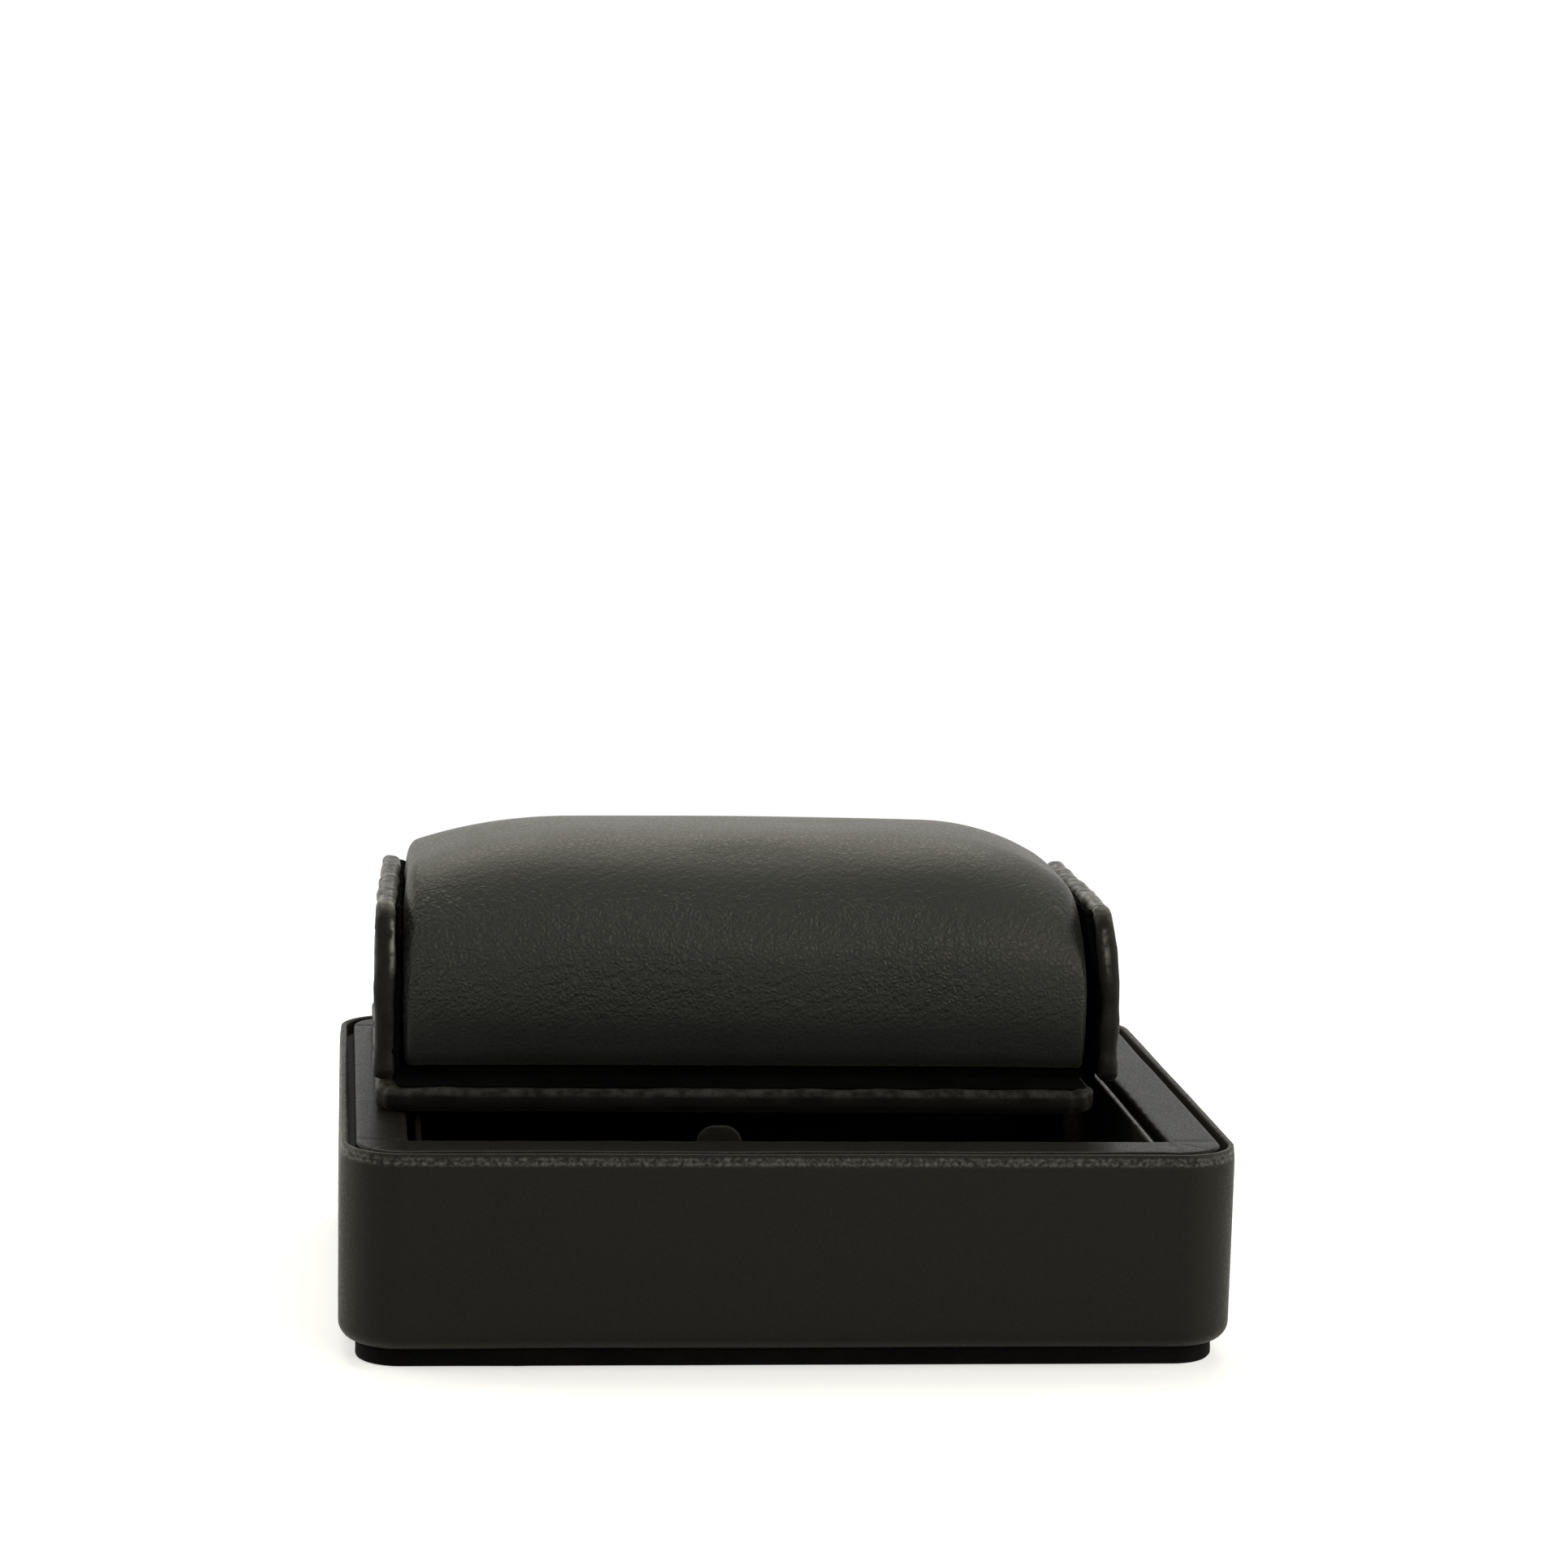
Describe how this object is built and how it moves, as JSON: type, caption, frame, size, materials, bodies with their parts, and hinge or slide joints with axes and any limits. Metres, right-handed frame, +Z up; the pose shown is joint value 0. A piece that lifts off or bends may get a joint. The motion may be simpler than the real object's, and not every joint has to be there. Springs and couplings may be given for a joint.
{
  "type": "travel watch stand",
  "caption": "Low leather tray with an open compartment; a loose plate on its ledge carries an eared cradle with a crowned lift-out watch pillow.",
  "frame": {"origin": "middle of the tray's underside, on the surface it stands on", "axes": "+X along the width, to the right seen from the front; +Y to the rear; +Z up"},
  "size_m": [0.13, 0.1, 0.0705],
  "materials": {
    "smooth_leather": "smooth black leather, fine grain, satin",
    "ledge_leather": "dark grey-black leather, matte",
    "black_suede": "black suede",
    "black_felt": "black felt",
    "fibre_board": "fibre board, hidden",
    "card": "black covered card",
    "foam": "foam, hidden",
    "tab_leather": "dark grey leather"
  },
  "bodies": {
    "root": {"base_felt": "black_felt", "base_board": "fibre_board", "tray_floor": "fibre_board", "wall_front": "fibre_board", "wall_rear": "fibre_board", "wall_left": "fibre_board", "wall_right": "fibre_board", "wall_leather": "smooth_leather", "ledge_board": "card", "ledge_front": "ledge_leather", "ledge_rear": "ledge_leather", "ledge_left": "ledge_leather", "ledge_right": "ledge_leather", "liner_front": "card", "liner_rear": "card", "liner_left": "card", "liner_right": "card", "liner_floor": "card", "floor_suede": "black_suede", "pull_tab": "tab_leather"},
    "stand": {"plate_board": "fibre_board", "plate_leather": "smooth_leather", "plate_lining": "black_suede", "cradle_base": "black_suede", "ear_left_board": "fibre_board", "ear_left_leather": "smooth_leather", "ear_left_lining": "black_suede", "ear_right_board": "fibre_board", "ear_right_leather": "smooth_leather", "ear_right_lining": "black_suede"},
    "pillow": {"pillow_cover": "smooth_leather", "pillow_foam": "foam", "pillow_base": "card", "pillow_end_left": "smooth_leather", "pillow_end_right": "smooth_leather"}
  },
  "joints": [
    {"name": "stand_lift", "type": "slide", "parent": "root", "child": "stand", "axis": [0, 0, 1], "range_m": [0, 0.05]},
    {"name": "pillow_lift", "type": "slide", "parent": "stand", "child": "pillow", "axis": [0, 0, 1], "range_m": [0, 0.045]}
  ]
}
